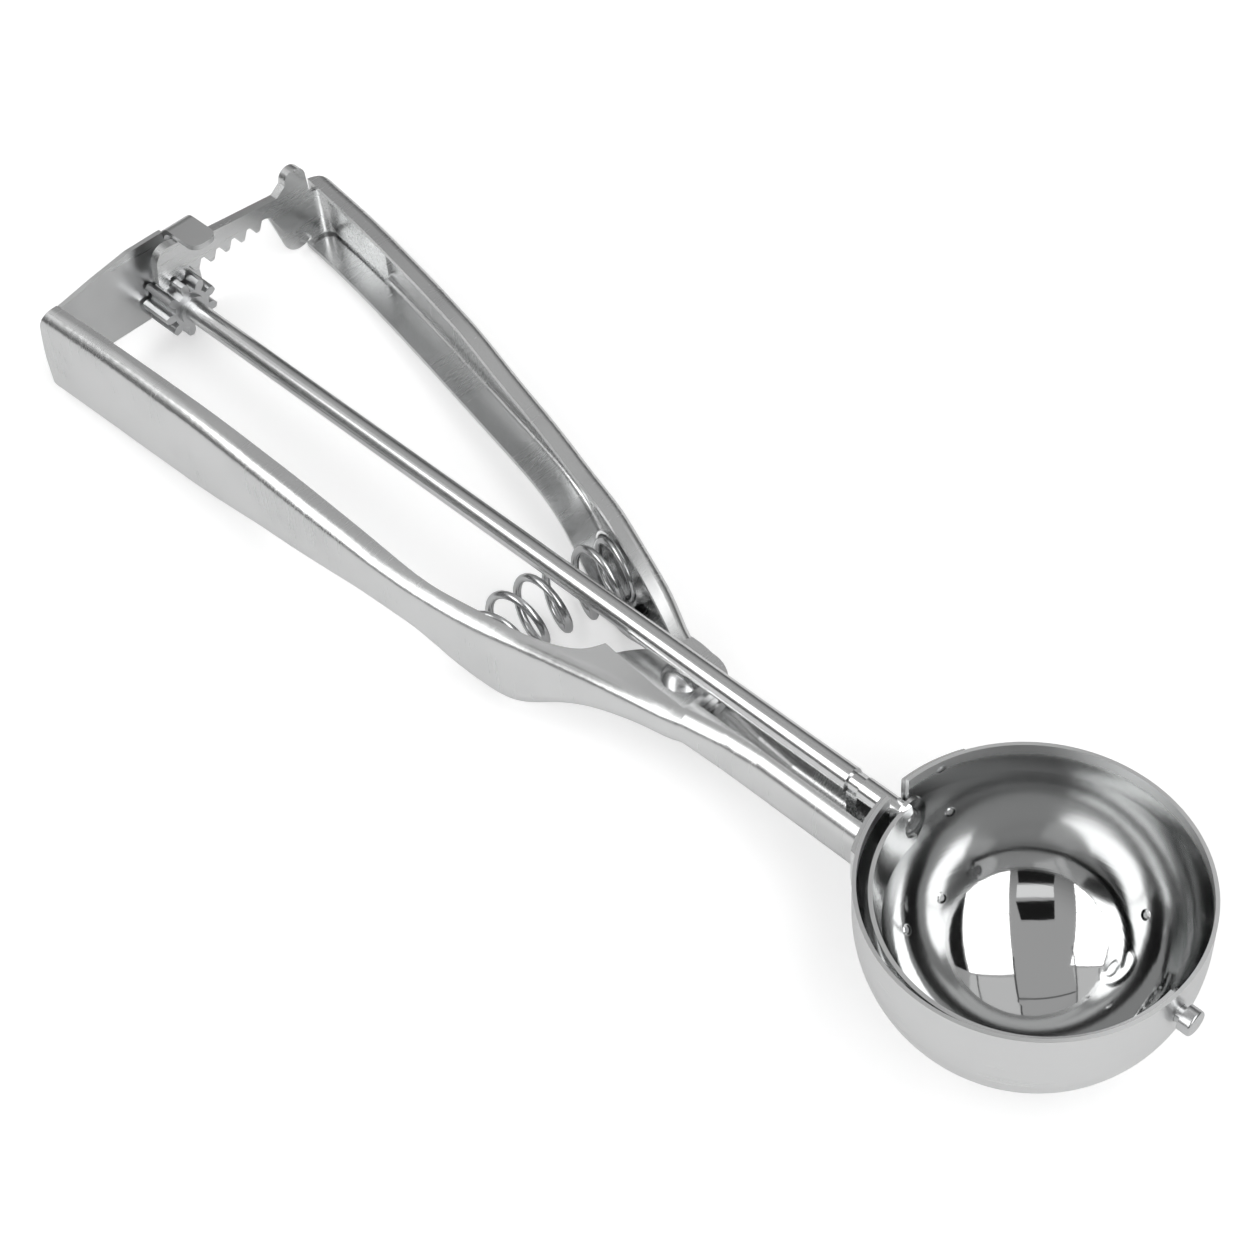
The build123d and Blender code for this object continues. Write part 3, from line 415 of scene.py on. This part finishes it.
def add_camera():
    back = towards(CAMERA_AZIMUTH, CAMERA_ELEVATION)
    level = Vector((0, 0, 1)).cross(back).normalized()
    upright = back.cross(level)
    turn_cos, turn_sin = math.cos(CAMERA_ROLL), math.sin(CAMERA_ROLL)
    right = level * turn_cos + upright * turn_sin
    up = upright * turn_cos - level * turn_sin
    lens = bpy.data.cameras.new("camera")
    lens.sensor_width = SENSOR
    lens.lens = FOCAL_LENGTH
    lens.shift_x = -SHIFT_RIGHT
    lens.shift_y = SHIFT_DOWN
    lens.clip_start = NEAREST_SEEN
    lens.clip_end = FARTHEST_SEEN
    camera = bpy.data.objects.new("camera", lens)
    turn = Matrix((right, up, back)).transposed().to_4x4()
    camera.matrix_world = Matrix.Translation(CAMERA_PLACE) @ turn
    bpy.context.collection.objects.link(camera)
    bpy.context.scene.camera = camera


# ---- studio ---------------------------------------------------------------------------

WHITE = (1.0, 1.0, 1.0, 1.0)
BLACK = (0.0, 0.0, 0.0, 1.0)

FLOOR_TILT_X = -0.0893         # slopes of the plane that the scoop lies on
FLOOR_TILT_Y = 0.0719
FLOOR_LEVEL = -25.9 * MM
FLOOR_REACH = 6.0
FLOOR_COLOUR = (0.74, 0.74, 0.74, 1.0)
FLOOR_SEEN = (0.46, 0.46, 0.46, 1.0)           # what the camera sees on top of the lit floor
FLOOR_MIRRORED = (0.08, 0.08, 0.08, 1.0)       # and what the steel mirrors


def pale_floor():
    finish = Finish(bpy.data.materials.new("pale_floor"))
    seen = finish.node("LightPath", out="Is Camera Ray")
    mirrored = finish.node("LightPath", out="Is Glossy Ray")
    glow = finish.mixed(seen, finish.mixed(mirrored, BLACK, FLOOR_MIRRORED), FLOOR_SEEN)
    shader = finish.node(
        "BsdfPrincipled", Roughness=0.9, Metallic=0.0,
        **{"Base Color": FLOOR_COLOUR, "Specular IOR Level": 0.0,
           "Emission Color": glow, "Emission Strength": 1.0},
    )
    return finish.surface(shader)


def add_floor():
    corners = [(-FLOOR_REACH, -FLOOR_REACH), (FLOOR_REACH, -FLOOR_REACH)]
    corners += [(FLOOR_REACH, FLOOR_REACH), (-FLOOR_REACH, FLOOR_REACH)]
    vertices = [(x, y, FLOOR_TILT_X * x + FLOOR_TILT_Y * y + FLOOR_LEVEL) for x, y in corners]
    floor = add_mesh("floor", vertices, [(0, 1, 2, 3)])
    floor.data.materials.append(pale_floor())


SKY_START = 0.22               # height in the sky, from 0 at the horizon to 1 overhead
SKY_FULL = 0.8
HORIZON_LIGHT = 0.09
OVERHEAD_LIGHT = 0.48


def add_room():
    """Grey room that darkens towards the horizon, and plain white where the camera looks past the floor."""
    world = bpy.data.worlds.new("room")
    bpy.context.scene.world = world
    finish = Finish(world)
    height = finish.node("SeparateXYZ", out="Z", Vector=finish.node("TexCoord", out="Generated"))
    level = finish.step(height, SKY_START, SKY_FULL, HORIZON_LIGHT, OVERHEAD_LIGHT)
    seen = finish.node("LightPath", out="Is Camera Ray")
    shade = finish.node("Background", Color=WHITE, Strength=level.larger(seen))
    finish.surface(shade)


CEILING = 1.1                  # height of the panels over the scoop
SCOOP_MIDDLE = Vector((-0.06, 0, 0))
WINDOW = 2.9                   # brightness of the panels
PALE_WALL = 0.72
WHITE_BAR = 1.0
DARK = 0.015
SEAM = 0.10
WINDOW_SEAM = 0.7
END_SEAM = 0.16
SEAM_WIDTH = 0.022             # in ceiling heights
END_SEAM_WIDTH = 0.03
SEAM_DROP = 0.01               # seams hang below the panels that they cross


def panel(name, corners, brightness, drop=0.0):
    """Flat glowing panel overhead, which lights the scoop and shows in its steel but not to the camera.

    Each corner is how far it lies towards the camera and how far to its left, in ceiling heights.
    """
    ahead = towards(CAMERA_AZIMUTH, 0)
    left = towards(CAMERA_AZIMUTH + math.pi / 2, 0)
    height = CEILING - drop
    middle = SCOOP_MIDDLE + Vector((0, 0, height))
    vertices = [middle + (ahead * forth + left * aside) * height for forth, aside in corners]
    piece = add_mesh(name, vertices, [(0, 1, 2, 3)])
    finish = Finish(bpy.data.materials.new(name))
    glow = finish.node("Emission", Color=WHITE, Strength=brightness)
    piece.data.materials.append(finish.surface(glow))
    piece.visible_camera = False


def seam(name, start, end, brightness=SEAM, width=SEAM_WIDTH):
    """Narrow dark line between two places on the ceiling, where its cloths meet."""
    first, last = Vector(start), Vector(end)
    along = (last - first).normalized()
    side = Vector((-along.y, along.x)) * width / 2
    corners = [tuple(corner) for corner in (first - side, last - side, last + side, first + side)]
    panel(name, corners, brightness, SEAM_DROP)


add_room()
add_floor()
panel("window_left", [(-0.11, 0.19), (3.26, 0.19), (3.35, 1.63), (-0.17, 0.82)], WINDOW)
panel("window_right", [(-0.14, -0.48), (3.06, -2.14), (2.49, -3.99), (-0.42, -1.06)], WINDOW)
panel("wall_left", [(-0.15, 0.19), (-0.20, 0.82), (-0.95, 1.05), (-0.90, 0.25)], PALE_WALL)
panel("wall_right", [(-0.19, -0.50), (-0.45, -1.08), (-1.30, -1.20), (-0.90, -0.50)], PALE_WALL)
panel("dark_corner", [(-0.16, 0.86), (1.40, 1.20), (1.00, 2.00), (-0.14, 1.20)], DARK)
panel("dark_high", [(2.57, 0.01), (2.60, -1.29), (1.31, -0.70), (1.36, 0.01)], DARK)
panel("dark_low", [(0.90, 0.08), (0.86, -0.54), (0.52, -0.43), (0.56, 0.03)], DARK)
panel("white_bar", [(1.30, 0.04), (1.25, -0.66), (0.93, -0.56), (0.97, 0.07)], WHITE_BAR)
seam("seam_window_left", (0.75, 1.00), (0.68, 0.19), WINDOW_SEAM)
seam("seam_window_right", (0.59, -0.86), (0.48, -1.95), WINDOW_SEAM)
seam("seam_slot_left", (0.10, 0.18), (-0.90, 0.24))
seam("seam_slot_right", (0.10, -0.57), (-0.95, -0.47))
seam("seam_slot_end", (-0.47, 0.21), (-0.58, -0.48), END_SEAM, END_SEAM_WIDTH)
seam("seam_wall_left", (-0.18, 0.70), (-0.92, 0.76))
seam("seam_wall_right", (-0.42, -0.96), (-1.10, -0.86))
add_camera()
bpy.context.scene.view_settings.view_transform = "Standard"
